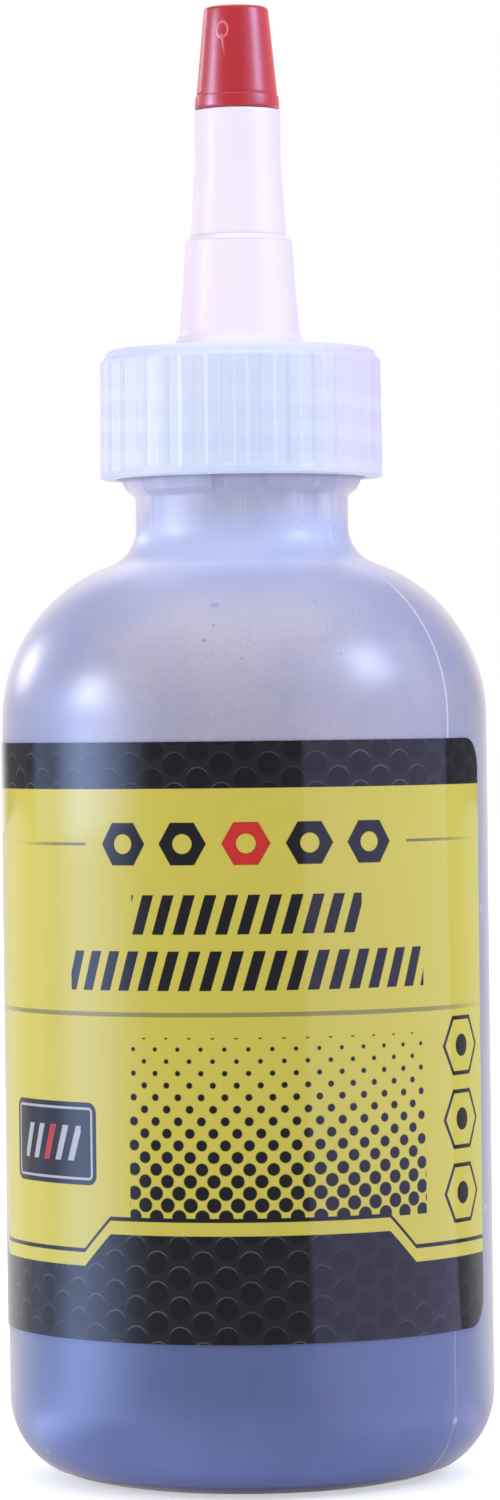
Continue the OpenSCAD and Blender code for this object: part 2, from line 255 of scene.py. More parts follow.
def rounded(corners, steps=6):
    """An outline through corners given as (r, z) or (r, z, fillet radius)."""
    points = []
    for i, corner in enumerate(corners):
        x, z = corner[:2]
        radius = corner[2] if len(corner) > 2 else 0
        if radius <= 0 or i in (0, len(corners) - 1):
            points.append((x, z))
            continue
        ax, az, before = towards(corner, corners[i - 1])
        bx, bz, after = towards(corner, corners[i + 1])
        half = math.acos(max(-1.0, min(1.0, ax * bx + az * bz))) / 2
        reach = min(radius / math.tan(half), before / 2, after / 2)
        radius = reach * math.tan(half)
        centre_x = x + (ax + bx) / (2 * math.cos(half)) * radius / math.sin(half)
        centre_z = z + (az + bz) / (2 * math.cos(half)) * radius / math.sin(half)
        first = math.atan2(z + az * reach - centre_z, x + ax * reach - centre_x)
        last = math.atan2(z + bz * reach - centre_z, x + bx * reach - centre_x)
        start, end = math.degrees(first), math.degrees(first + angle_from(last, first))
        points += arc(centre_x, centre_z, radius, start, end, steps)
    return points


def filled(points, longest):
    """The same outline with extra points, so that no step is longer than the given length."""
    out = [points[0]]
    for (x0, z0), (x1, z1) in zip(points, points[1:]):
        count = max(1, math.ceil(math.hypot(x1 - x0, z1 - z0) / longest))
        out += [(x0 + (x1 - x0) * i / count, z0 + (z1 - z0) * i / count) for i in range(1, count + 1)]
    return out


# Meshes

MERGE_DISTANCE = 1e-7
SHORTEST_EDGE = 1e-8


def smooth(t):
    """0 up to 0, 1 from 1 on, and a soft rise between."""
    t = max(0.0, min(1.0, t))
    return t * t * (3 - 2 * t)


def finish_mesh(name, verts, faces, sharp_deg=38):
    """An object of these faces, smooth but for edges sharper than the given angle."""
    mesh = bpy.data.meshes.new(name)
    mesh.from_pydata(verts, [], faces)
    bm = bmesh.new()
    bm.from_mesh(mesh)
    bmesh.ops.remove_doubles(bm, verts=bm.verts, dist=MERGE_DISTANCE)
    bmesh.ops.dissolve_degenerate(bm, edges=bm.edges, dist=SHORTEST_EDGE)
    bmesh.ops.recalc_face_normals(bm, faces=bm.faces)
    bm.to_mesh(mesh)
    bm.free()
    mesh.polygons.foreach_set("use_smooth", [True] * len(mesh.polygons))
    mesh.set_sharp_from_angle(angle=math.radians(sharp_deg))
    obj = bpy.data.objects.new(name, mesh)
    bpy.context.scene.collection.objects.link(obj)
    return obj


def lathe(profile, angles, relief=None):
    """Vertices and faces of an outline turned round Z. Its ends lie on the axis or are one point.

    relief(angle, r, z) says how far a point moves outwards from the axis."""
    verts, faces = [], []
    for a in angles:
        for r, z in profile:
            out = r + (relief(a, r, z) if relief and r > 0 else 0)
            verts.append((out * math.cos(a), out * math.sin(a), z))
    count = len(profile)
    columns = len(angles)
    for i in range(columns):
        j = (i + 1) % columns
        for k in range(count - 1):
            faces.append((i * count + k, j * count + k, j * count + k + 1, i * count + k + 1))
    return verts, faces


def even_angles(count, extra=()):
    """Angles round the whole turn, with extra ones put in where a mark needs them."""
    extra = [a % (2 * math.pi) for a in extra]
    gap = math.pi / count / 3
    even = [2 * math.pi * i / count for i in range(count)]
    clear = [a for a in even if all(abs(angle_from(a, e)) > gap for e in extra)]
    return sorted(clear + extra)


def bar_faces(rows, n):
    """Faces of a bar given as rows of n points, with both its ends closed."""
    faces = [tuple(range(n)), tuple(range((rows - 1) * n, rows * n))]
    for i in range(rows - 1):
        for k in range(n):
            m = (k + 1) % n
            faces.append((i * n + k, i * n + m, (i + 1) * n + m, (i + 1) * n + k))
    return faces


def thread(root_r, crest_r, from_angle, z, turns):
    """A thread that rises on a wall and runs out at both ends."""
    side = 1 if crest_r > root_r else -1
    inner = root_r - side * THREAD_SINK
    lowest = root_r - side * THREAD_SINK / 2
    soft = (THREAD_ROOT_W - THREAD_CREST_W) / 8
    count = math.ceil(turns * THREAD_STEPS)
    verts = []
    for i in range(count + 1):
        t = turns * i / count
        rise = smooth(min(1.0, t / THREAD_FADE_TURNS, (turns - t) / THREAD_FADE_TURNS))
        crest = lowest + (crest_r - lowest) * rise
        upper = [
            (crest, THREAD_CREST_W / 2 - soft),
            (crest - side * soft, THREAD_CREST_W / 2 + soft),
            (root_r, THREAD_ROOT_W / 2),
            (inner, THREAD_ROOT_W / 2),
        ]
        section = [(r, -h) for r, h in reversed(upper)] + upper
        a = from_angle + 2 * math.pi * t
        middle = z + THREAD_PITCH * t
        verts += [(r * math.cos(a), r * math.sin(a), middle + h) for r, h in section]
    return verts, bar_faces(count + 1, len(section))


def joined(*parts):
    """One list of vertices and faces from several."""
    verts, faces = [], []
    for part_verts, part_faces in parts:
        start = len(verts)
        verts += part_verts
        faces += [tuple(start + i for i in face) for face in part_faces]
    return verts, faces


# Pieces

def base_edge():
    """The rounded lower edge, with the small step where the mould's base part met its two halves."""
    x = BODY_R - BASE_EDGE_R
    points = []
    for degrees in range(-90, BASE_STEP_DEG + 1, 2):
        r = BASE_EDGE_R - BASE_STEP * smooth((degrees + 90) / BASE_STEP_RUN_DEG)
        a = math.radians(degrees)
        points.append((x + r * math.cos(a), BASE_EDGE_R + r * math.sin(a)))
    return points + arc(x, BASE_EDGE_R, BASE_EDGE_R, BASE_STEP_DEG + BASE_STEP_FACE_DEG, 0, 16)


def bottle_outside():
    """From the middle of the hollow foot, up the side, shoulder and neck to the lip."""
    start = math.degrees(math.acos(FOOT_IN_R / PUSH_UP_R))
    under = arc(0, PUSH_UP_H - PUSH_UP_R, PUSH_UP_R, 90, start, 16)[:-2]
    foot = rounded([under[-1], (FOOT_IN_R, 0, FOOT_EDGE_R), (FOOT_IN_R + FOOT_W / 2, 0)], 5)[1:]
    shoulder_x = BODY_R - SHOULDER_R
    blend_x = NECK_R + NECK_BLEND_R
    reach = SHOULDER_R + NECK_BLEND_R
    blend_z = SIDE_H + math.sqrt(reach ** 2 - (blend_x - shoulder_x) ** 2)
    touch = math.degrees(math.atan2(blend_z - SIDE_H, blend_x - shoulder_x))
    shoulder = arc(shoulder_x, SIDE_H, SHOULDER_R, 0, touch, 36)
    blend = arc(blend_x, blend_z, NECK_BLEND_R, touch + 180, 180, 12)[1:]
    neck = rounded([
        blend[-1],
        (NECK_R, BEAD_Z, BEAD_FOOT_R),
        (BEAD_R - BEAD_KNEE, BEAD_Z + BEAD_SLOPE_H * BEAD_KNEE_SHARE, BEAD_KNEE_R),
        (BEAD_R, BEAD_Z + BEAD_SLOPE_H, BEAD_EDGE_R),
        (BEAD_R, BEAD_TOP, BEAD_EDGE_R),
        (NECK_R, BEAD_TOP, FINE_R),
        (NECK_R, LIP_Z, LIP_EDGE_R),
        ((NECK_R + MOUTH_R) / 2, LIP_Z),
    ], 5)[1:]
    body = under + foot + base_edge() + shoulder
    return filled(body, 2.5 * MM) + filled(blend + neck, 1.2 * MM)


def bottle_inside():
    """From the lip down the mouth and the inner wall to the middle of the floor."""
    shoulder_x = BODY_R - SHOULDER_R
    inner_shoulder = SHOULDER_R - WALL
    inner_edge = BASE_EDGE_R - WALL
    mouth = rounded([
        ((NECK_R + MOUTH_R) / 2, LIP_Z),
        (MOUTH_R, LIP_Z, LIP_EDGE_R),
        (MOUTH_R, SIDE_H + inner_shoulder - MOUTH_BLEND_H),
    ], 5)[1:]
    start = math.degrees(math.acos((MOUTH_R - shoulder_x) / inner_shoulder)) - MOUTH_BLEND_DEG
    shoulder = arc(shoulder_x, SIDE_H, inner_shoulder, start, 0, 30)
    edge = arc(BODY_R - BASE_EDGE_R, FLOOR_T + inner_edge, inner_edge, 0, -90, 14)
    floor = [(FOOT_IN_R, FLOOR_T), (FLOOR_KNEE_R, FLOOR_T + FLOOR_KNEE_H), (0, FLOOR_T + PUSH_UP_H)]
    return filled(mouth + shoulder + edge + floor, 4 * MM)


def bottle_relief(a, r, z):
    """The parting line's ridge and the notch in the bead."""
    out = 0.0
    if r > SEAM_INNER_R:
        for seam in SEAM_ANGLES:
            if abs(angle_from(a, seam)) * r < SEAM_W / 4:
                out += SEAM_OUT
    if r > NECK_R + 0.3 * MM and BEAD_Z < z < BEAD_TOP + 0.1 * MM:
        away = abs(angle_from(a, NOTCH_ANGLE)) * BEAD_R
        out -= NOTCH_DEPTH * (1 - smooth((away - NOTCH_W / 2) / NOTCH_SLOPE + 1))
    return out


def pinch_line():
    """Where the mould pinched the tube shut: a low bar that follows the hollow under the foot."""
    steps = 24
    verts = []
    for i in range(steps + 1):
        x = PINCH_L * (i / steps - 0.5)
        under = PUSH_UP_H - PUSH_UP_R + math.sqrt(PUSH_UP_R ** 2 - x * x)
        out = PINCH_OUT * smooth(min(i, steps - i) / 2)
        side = [(-PINCH_W / 2, PINCH_SINK), (-PINCH_W / 2, -out * 0.6), (-PINCH_W / 4, -out)]
        section = side + [(-y, h) for y, h in reversed(side)]
        verts += [(x, y, under + h) for y, h in section]
    return verts, bar_faces(steps + 1, len(section))


def make_bottle():
    extra = []
    for seam in SEAM_ANGLES:
        extra += [seam + d * SEAM_W / 2 / BODY_R for d in (-1, 0, 1)]
    for d in (0.3, 0.5, 0.75, 1.0):
        extra += [NOTCH_ANGLE - d * MM / BEAD_R, NOTCH_ANGLE + d * MM / BEAD_R]
    extra.append(NOTCH_ANGLE)
    outside = bottle_outside()
    outer = set(outside)

    def relief(a, r, z):
        return bottle_relief(a, r, z) if (r, z) in outer else 0.0

    shell = lathe(outside + bottle_inside(), even_angles(288, extra), relief)
    wind = thread(NECK_R, NECK_R + THREAD_OUT, 0, NECK_THREAD_Z, NECK_TURNS)
    return finish_mesh("bottle_shell", *joined(shell, wind, pinch_line()))


def make_powder():
    """The powder inside, with an uneven heaped top."""
    wall_r = BODY_R - WALL - POWDER_GAP
    edge_r = BASE_EDGE_R - WALL - POWDER_GAP
    level = high("graphite_powder") - HEAP_TO_TOP
    floor_z = FLOOR_T + POWDER_FLOOR_GAP
    floor = [(0, floor_z + PUSH_UP_H), (FLOOR_KNEE_R, floor_z + FLOOR_KNEE_H), (POWDER_FLAT_R, floor_z)]
    edge = arc(BODY_R - BASE_EDGE_R, FLOOR_T + edge_r + POWDER_GAP, edge_r, -90, 0, 10)
    top = [(wall_r * (1 - i / 12), level + HEAP_H * smooth(i / 12)) for i in range(13)]
    profile = floor + edge + [(wall_r, level - HEAP_SIDE_H)] + top

    def relief(a, r, z):
        if z < level - 1 * MM or r > wall_r - 0.5 * MM:
            return 0.0
        return RIPPLE_H * math.sin(5 * a + 0.9 * r / MM) * math.sin(3 * a - 1.5 * r / MM)

    return finish_mesh("powder_charge", *lathe(profile, even_angles(96), relief))


def make_liner():
    lo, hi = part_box("seal_liner")
    middle = (LINER_HOLE_R, (lo.z + hi.z) / 2)
    profile = rounded([
        middle,
        (LINER_HOLE_R, lo.z, LINER_EDGE_R),
        (hi.x, lo.z, LINER_EDGE_R),
        (hi.x, hi.z, LINER_EDGE_R),
        (LINER_HOLE_R, hi.z, LINER_EDGE_R),
        middle,
    ], 3)
    return finish_mesh("liner_ring", *lathe(profile, even_angles(96)))


def spout_outside():
    """From the cap's lower rim over its upper edge, the spout and the nozzle to the outlet."""
    return rounded([
        (SKIRT_BORE_R + LEAD_IN, CAP_Z),
        (CORE_R, CAP_Z, FINE_R),
        (CORE_R - CAP_DRAFT, CAP_TOP, CAP_EDGE_R),
        (SPOUT_FOOT_R + SPOUT_FOOT_FLARE, CAP_TOP, SPOUT_FOOT_SWEEP_R),
        (SPOUT_LOW_R + SPOUT_LOW_FLARE, CAP_TOP + SPOUT_FOOT_H, SPOUT_LOW_SWEEP_R),
        (SPOUT_STEP_R, STEP_Z - STEP_DROP, STEP_EDGE_R),
        (SPOUT_UP_R, STEP_Z + STEP_RISE, FINE_R),
        (SPOUT_TOP_R, STEP_Z + TAPER_H, TAPER_SWEEP_R),
        (SPOUT_TOP_R, LEDGE_Z, FINE_R),
        (NOZZLE_FOOT_R, LEDGE_Z, SHARP_R),
        (NOZZLE_TOP_R, NOZZLE_TOP, NOZZLE_EDGE_R),
        (OUTLET_R, NOZZLE_TOP, OUTLET_EDGE_R),
        (OUTLET_R, NOZZLE_TOP - OUTLET_L / 2),
    ], 8)


def spout_inside():
    """From the outlet down the bore to the cap's lower rim."""
    ledge_z = LEDGE_Z - SPOUT_WALL
    step_z = STEP_Z - SPOUT_WALL
    return rounded([
        (OUTLET_R, NOZZLE_TOP - OUTLET_L / 2),
        (OUTLET_R, NOZZLE_TOP - OUTLET_L, SHARP_R),
        (NOZZLE_TOP_R - NOZZLE_WALL, NOZZLE_TOP - OUTLET_L, FINE_R),
        (NOZZLE_FOOT_R - NOZZLE_WALL, ledge_z, FINE_R),
        (SPOUT_TOP_R - SPOUT_WALL, ledge_z, FINE_R),
        (SPOUT_TOP_R - SPOUT_WALL, STEP_Z + BORE_TAPER_H, BORE_SWEEP_R),
        (SPOUT_UP_R - SPOUT_WALL, step_z + BORE_STEP_H, SOFT_R),
        (SPOUT_STEP_R - SPOUT_WALL, step_z + BORE_STEP_H, SOFT_R),
        (SPOUT_STEP_R - SPOUT_WALL, step_z, SOFT_R),
        (SPOUT_LOW_R - SPOUT_WALL, CAP_TOP + SPOUT_FOOT_H, BORE_SWEEP_R),
        (SPOUT_FOOT_R - SPOUT_WALL, CAP_TOP + BORE_FOOT_H, BORE_FOOT_SWEEP_R),
        (SPOUT_FOOT_R - SPOUT_WALL, DECK_Z, SOFT_R),
        (SKIRT_BORE_R, DECK_Z, DECK_CORNER_R),
        (SKIRT_BORE_R, CAP_Z + LEAD_IN, FINE_R),
        (SKIRT_BORE_R + LEAD_IN, CAP_Z),
    ], 6)


def rib_height(a):
    """0 between two ribs, 1 on a rib's crest, with rounded flanks."""
    pitch = 2 * math.pi / RIB_COUNT
    away = abs((a + pitch / 2) % pitch - pitch / 2) * CAP_R
    return 1 - smooth((away - (RIB_W - RIB_FLANK) / 2) / RIB_FLANK)


def cap_relief(a, r, z):
    """Grip ribs, which run into a plain rim below and slope away under the rounded edge above."""
    if r < CORE_R - CAP_DRAFT - RIB_REACH or z > CAP_TOP:
        return 0.0
    rim = 1 - smooth((z - CAP_Z - RIM_H) / RIM_RUN)
    top = 1 - smooth((z - (CAP_TOP - CAP_EDGE_R - RIB_END_H)) / RIB_END_RUN)
    lower = 1 - RIM_EDGE_SHARE * (1 - smooth((z - CAP_Z) / RIM_EDGE_H))
    height = rim + (1 - rim) * (GROOVE_SHARE + (1 - GROOVE_SHARE) * rib_height(a))
    return RIB_H * height * top * lower


def with_rib_rows(outline):
    """The outline with extra points on the skirt's side, closest where the ribs begin and end."""
    points = []
    for (r0, z0), (r1, z1) in zip(outline, outline[1:]):
        points.append((r0, z0))
        height = z1 - z0
        if r0 > SKIRT_BORE_R and height > (CAP_TOP - CAP_Z) / 2:
            shares = [d * MM / height for d in (0.1, 0.25, 0.45, 0.6, 0.75, 0.9, 1.05, 1.2, 1.4, 2.0)]
            shares += [0.3, 0.5, 0.7, 0.82]
            shares += [1 - i * 0.08 * MM / height for i in range(12, 0, -1)]
            points += [(r0 + (r1 - r0) * t, z0 + height * t) for t in shares]
    return points + [outline[-1]]


def make_spout_cap():
    flank = RIB_FLANK / CAP_R
    half = RIB_W / 2 / CAP_R
    extra = []
    for i in range(RIB_COUNT):
        middle = 2 * math.pi * i / RIB_COUNT
        for d in (-half - flank / 2, -half, -half + flank / 2, half - flank / 2, half, half + flank / 2):
            extra.append(middle + d)
    outside = filled(with_rib_rows(spout_outside()), 2.5 * MM)
    profile = outside + filled(spout_inside(), 4 * MM)[1:]
    body = lathe(profile, even_angles(RIB_COUNT * 8, extra), cap_relief)
    thread_z = CAP_Z + LEAD_IN + THREAD_ROOT_W
    rise = thread_z + (THREAD_ROOT_W + THREAD_CREST_W) / 2 + THREAD_PLAY - NECK_THREAD_Z
    start = rise / THREAD_PITCH * 2 * math.pi
    wind = thread(SKIRT_BORE_R, SKIRT_BORE_R - THREAD_OUT, start, thread_z, CAP_TURNS)
    return finish_mesh("ribbed_spout_cap", *joined(body, wind))


def tip_relief(a, r, z):
    """The moulded mouth isn't quite round."""
    if z < TIP_Z + 0.4 * MM and r > TIP_COLLAR_R - 0.3 * MM:
        return TIP_UNEVEN * (math.sin(3 * a + 0.6) + 0.75 * math.sin(7 * a))
    return 0.0


def make_tip_cap():
    mouth = (NOZZLE_FOOT_R + TIP_FIT + TIP_LEAD_IN, TIP_Z)
    outside = rounded([
        mouth,
        (TIP_COLLAR_R, TIP_Z, FINE_R),
        (TIP_COLLAR_R - TIP_COLLAR_DRAFT, TIP_Z + TIP_BAND_H, SHARP_R),
        (TIP_LOW_R - TIP_GROOVE, TIP_Z + TIP_BAND_H + TIP_GROOVE * 2, SHARP_R / 2),
        (TIP_LOW_R, TIP_Z + TIP_COLLAR_H, SHARP_R),
        (TIP_TOP_R, TIP_TOP, TIP_EDGE_R),
        (TIP_TOP_R / 2, TIP_TOP - TIP_DISH * 2 / 3),
        (0, TIP_TOP - TIP_DISH),
    ], 8)
    bore = rounded([
        (0, TIP_TOP - TIP_END_T),
        (NOZZLE_TOP_R + TIP_FIT, TIP_TOP - TIP_END_T, FINE_R),
        (NOZZLE_FOOT_R + TIP_FIT, TIP_Z + TIP_LEAD_IN, FINE_R),
        mouth,
    ], 4)
    profile = filled(outside + bore, 2.0 * MM)
    return finish_mesh("tip_cap_shell", *lathe(profile, even_angles(144), tip_relief))


def make_label():
    """A thin film round the body, with rounded corners and a bare strip between its two ends."""
    length = (2 * math.pi - LABEL_BARE) * LABEL_IN_R
    between = length - 2 * LABEL_CORNER_R
    corner = [LABEL_CORNER_R * (1 - math.cos(math.radians(9 * i))) for i in range(10)]
    places = corner + [LABEL_CORNER_R + between * i / LABEL_COLUMNS for i in range(LABEL_COLUMNS + 1)]
    places += [length - d for d in reversed(corner)]
    verts, faces = [], []
    for d in places:
        edge = min(d, length - d, LABEL_CORNER_R)
        inset = LABEL_CORNER_R - math.sqrt(max(0, LABEL_CORNER_R ** 2 - (LABEL_CORNER_R - edge) ** 2))
        height = LABEL_TOP - LABEL_Z - 2 * inset
        a = LABEL_END + LABEL_BARE + d / LABEL_IN_R
        for r in (LABEL_IN_R, LABEL_IN_R + LABEL_T):
            for k in range(LABEL_ROWS + 1):
                verts.append((r * math.cos(a), r * math.sin(a), LABEL_Z + inset + height * k / LABEL_ROWS))
    n = LABEL_ROWS + 1
    last = len(places) - 1
    for i in range(last):
        for layer in (0, 1):
            for k in range(LABEL_ROWS):
                p = (2 * i + layer) * n + k
                q = (2 * (i + 1) + layer) * n + k
                faces.append((p, q, q + 1, p + 1))
        for k in (0, LABEL_ROWS):
            p, q = 2 * i * n + k, 2 * (i + 1) * n + k
            faces.append((p, q, q + n, p + n))
    for i in (0, last):
        for k in range(LABEL_ROWS):
            p = 2 * i * n + k
            faces.append((p, p + 1, p + n + 1, p + n))
    return finish_mesh("wrap_label", verts, faces, sharp_deg=50)


# Shader arithmetic

class Field:
    """A number that varies over a surface, built from shader nodes with plain arithmetic."""

    def __init__(self, tree, socket):
        self.tree, self.socket = tree, socket

    def math(self, operation, *others, clamp=False):
        node = self.tree.nodes.new("ShaderNodeMath")
        node.operation = operation
        node.use_clamp = clamp
        for i, value in enumerate((self, *others)):
            if isinstance(value, Field):
                self.tree.links.new(value.socket, node.inputs[i])
            else:
                node.inputs[i].default_value = value
        return Field(self.tree, node.outputs[0])

    def constant(self, value):
        node = self.tree.nodes.new("ShaderNodeValue")
        node.outputs[0].default_value = value
        return Field(self.tree, node.outputs[0])

    def __add__(self, other):
        return self.math("ADD", other)

    __radd__ = __add__

    def __sub__(self, other):
        return self.math("SUBTRACT", other)

    def __rsub__(self, other):
        return self.constant(other) - self

    def __mul__(self, other):
        return self.math("MULTIPLY", other)

    __rmul__ = __mul__

    def __truediv__(self, other):
        return self.math("DIVIDE", other)

    def __neg__(self):
        return self * -1

    def __abs__(self):
        return self.math("ABSOLUTE")

    def least(self, other):
        return self.math("MINIMUM", other)

    def most(self, other):
        return self.math("MAXIMUM", other)

    def positive(self):
        """1 where the number is above 0, and 0 elsewhere."""
        return self.math("GREATER_THAN", 0.0)

    def wrapped(self, period):
        """Repeats from -period/2 to period/2."""
        return (self + period / 2).math("FLOORED_MODULO", period) - period / 2

    def inside(self, blur=0.06):
        """1 where a distance is negative and 0 outside, with a soft edge."""
        return (self / -blur + 0.5).math("ADD", 0.0, clamp=True)

    def near(self, place, half, blur=0.06):
        """1 up to a half width from a place and 0 further off, with a soft edge."""
        return (abs(self - place) - half).inside(blur)

    def span(self, low_value, high_value):
        """0 below the low value, 1 above the high one and smooth between."""
        node = self.tree.nodes.new("ShaderNodeMapRange")
        node.interpolation_type = "SMOOTHSTEP"
        self.tree.links.new(self.socket, node.inputs[0])
        node.inputs[1].default_value = low_value
        node.inputs[2].default_value = high_value
        return Field(self.tree, node.outputs[0])

    def fade(self, low_value, high_value):
        """1 below the low value, 0 above the high one and smooth between."""
        return 1 - self.span(low_value, high_value)


def azimuth_of(x, y):
    """The angle round the axis: 0 at the front and positive to the right."""
    return x.math("ARCTAN2", -y)


def length_of(x, y):
    return (x * x + y * y).math("SQRT")


def box_distance(x, y, half_x, half_y, radius=0.0):
    """Distance to a rectangle with rounded corners round the origin."""
    dx = abs(x) - (half_x - radius)
    dy = abs(y) - (half_y - radius)
    outer = length_of(dx.most(0.0), dy.most(0.0))
    return outer + dx.most(dy).least(0.0) - radius


def hexagon_distance(x, y, half_flat):
    """Distance to a hexagon that stands on a flat side."""
    x, y = abs(x), abs(y)
    slant = x * math.cos(math.radians(30)) + y * math.sin(math.radians(30))
    return slant.most(y) - half_flat


class Surface:
    """A material with its Principled shader, and helpers that add fields and textures."""

    def __init__(self, name, **constants):
        self.material = bpy.data.materials.new(name)
        self.material.use_nodes = True
        self.tree = self.material.node_tree
        self.shader = self.tree.nodes["Principled BSDF"]
        for key, value in constants.items():
            self.shader.inputs[key.replace("_", " ")].default_value = value
        coordinates = self.tree.nodes.new("ShaderNodeTexCoord")
        self.place = coordinates.outputs["Object"]
        split = self.tree.nodes.new("ShaderNodeSeparateXYZ")
        self.tree.links.new(self.place, split.inputs[0])
        self.x, self.y, z = (Field(self.tree, split.outputs[i]) for i in range(3))
        self.z_mm = z * MM_PER_M
        self.azimuth = azimuth_of(self.x, self.y)

    def texture(self, kind, scale, offset, stretch=(1, 1, 1)):
        """A texture in the object's own space, moved by an offset and stretched."""
        mapping = self.tree.nodes.new("ShaderNodeMapping")
        mapping.inputs["Scale"].default_value = stretch
        mapping.inputs["Location"].default_value = offset
        self.tree.links.new(self.place, mapping.inputs[0])
        node = self.tree.nodes.new(kind)
        node.inputs["Scale"].default_value = scale
        self.tree.links.new(mapping.outputs[0], node.inputs["Vector"])
        return node

    def noise(self, scale, detail=3.0, roughness=0.5, stretch=(1, 1, 1), offset=0.0):
        """Soft random values of 0 to 1."""
        node = self.texture("ShaderNodeTexNoise", scale, (offset, offset * 0.7, offset * 1.3), stretch)
        node.inputs["Detail"].default_value = detail
        node.inputs["Roughness"].default_value = roughness
        return Field(self.tree, node.outputs[0])

    def specks(self, scale, size, share, offset=0.0):
        """Small round specks in a share of all places: 1 in a speck, 0 elsewhere."""
        node = self.texture("ShaderNodeTexVoronoi", scale, (offset, offset * 1.7, offset * 0.6))
        split = self.tree.nodes.new("ShaderNodeSeparateColor")
        self.tree.links.new(node.outputs["Color"], split.inputs[0])
        chance = Field(self.tree, split.outputs[0])
        radius = Field(self.tree, split.outputs[1]) * size + size * 0.3
        near = 1 - Field(self.tree, node.outputs["Distance"]) / radius
        return near.span(0.0, 0.5) * (chance - (1 - share)).positive()

    def mix(self, first, second, share):
        """Colour first, or second where share is 1."""
        node = self.tree.nodes.new("ShaderNodeMix")
        node.data_type = "RGBA"
        self.tree.links.new(share.socket, node.inputs["Factor"])
        for slot_name, value in (("A", first), ("B", second)):
            socket = next(s for s in node.inputs if s.name == slot_name and s.type == "RGBA")
            if isinstance(value, tuple):
                socket.default_value = (*value, 1)
            else:
                self.tree.links.new(value, socket)
        return next(s for s in node.outputs if s.type == "RGBA")

    def start(self, first, second, share):
        """The colours under all others."""
        self.base = self.mix(first, second, share)

    def paint(self, colour, share):
        """A colour over what is there so far, full where share is 1."""
        self.base = self.mix(self.base, colour, share)

    def bump(self, height, depth):
        """Relief from a height field, with the depth in metres of a height of 1."""
        node = self.tree.nodes.new("ShaderNodeBump")
        node.inputs["Strength"].default_value = 1.0
        node.inputs["Distance"].default_value = depth
        self.tree.links.new(height.socket, node.inputs["Height"])
        self.set("Normal", node.outputs[0])

    def set(self, name, value):
        socket = value.socket if isinstance(value, Field) else value
        self.tree.links.new(socket, self.shader.inputs[name])

    def done(self):
        """The material with what was painted as its colour."""
        self.set("Base Color", self.base)
        return self.material


def combined(tree, channels):
    """A colour from three fields."""
    node = tree.nodes.new("ShaderNodeCombineColor")
    for i, channel in enumerate(channels):
        tree.links.new(channel.socket, node.inputs[i])
    return node.outputs[0]


def srgb(red, green, blue):
    """Linear colour of an sRGB one given as 0 to 255."""
    def linear(v):
        v /= 255
        return v / 12.92 if v <= 0.04045 else ((v + 0.055) / 1.055) ** 2.4
    return tuple(linear(v) for v in (red, green, blue))


# Materials. Their heights and widths are in millimetres, and heights are from the foot.

SMUDGE_Z = 86.3
SMUDGE_ANGLE = math.radians(-8)
SCUFF_Z = 143.9
SCUFF_ANGLE = math.radians(-24)
SCUFF_R = 3.3
LABEL_R_MM = (LABEL_IN_R + LABEL_T) / MM


def body_colours_and_painted_light(s, side, rough_z):
    """Slate where powder lies behind the wall, grey and blue above it, and painted light and shade, such
    as paler sides.
    """
    z = s.z_mm
    # Lighter towards the foot: painted light in place of light bounced up from the floor
    s.start(srgb(128, 144, 212), srgb(87, 103, 154), rough_z.span(-2, 11))
    # Paler at the sides: painted rim light
    s.paint(srgb(150, 156, 196), abs(side).span(0.75, 1.0) * 0.45)
    s.paint(srgb(143, 149, 188), rough_z.span(50, 72))
    s.paint(srgb(153, 162, 206), rough_z.span(78, 88))
    # A light band below the neck: painted reflection of the light above
    s.paint(srgb(191, 201, 241), rough_z.span(87, 92))
    s.paint(srgb(184, 186, 214), z.span(93.5, 97))
    # Painted shade on the right of the shoulder, and painted light on its left
    s.paint(srgb(144, 150, 196), side.span(0.6, 0.9) * z.span(74, 80) * z.fade(86, 90) * 0.4)
    s.paint(srgb(172, 176, 214), (-side).span(0.65, 1.0) * z.span(70, 80) * z.fade(88, 92) * 0.7)


def dust_film(s, rough_z):
    """Dust on the inside, thickest at the front, with its grains and drag marks. Returns where it is."""
    patch = s.noise(24, 4, 0.6, offset=3.0) + s.azimuth.math("COSINE") * 0.3
    film = patch.span(0.52, 0.8) * rough_z.span(58, 70) * rough_z.fade(83, 91)
    s.paint(s.mix(srgb(174, 168, 190), srgb(189, 181, 201), rough_z.span(73, 84)), film * 0.95)
    sand = s.noise(2400, 3, 0.75, stretch=(1, 1, 1.8), offset=9.0)
    s.paint(srgb(138, 132, 152), sand.span(0.47, 0.66) * film * 0.16)
    s.paint(srgb(222, 214, 224), sand.fade(0.32, 0.5) * film * 0.2)
    drag = s.noise(380, 4, 0.7, stretch=(0.35, 0.35, 1.6), offset=12.0)
    s.paint(srgb(150, 148, 176), drag.span(0.54, 0.74) * film * 0.3)
    return film


def neck_marks_and_rim_light(s, side, neck, pull):
    """Drag marks along the neck, its sides paler as painted rim light, and the two edges of its bore
    shining through.
    """
    # Paler at the sides: painted rim light
    s.paint(srgb(216, 208, 228), abs(side).span(0.75, 1.0) * neck)
    s.paint(srgb(212, 212, 236), pull.span(0.5, 0.7) * neck * 0.6)
    s.paint(srgb(158, 162, 200), pull.fade(0.3, 0.46) * neck * 0.5)
    away = abs(abs(s.azimuth) - math.asin(MOUTH_R / NECK_R)) * (NECK_R / MM)
    s.paint(srgb(150, 156, 204), (away - 0.12).inside(0.2) * neck * 0.5)


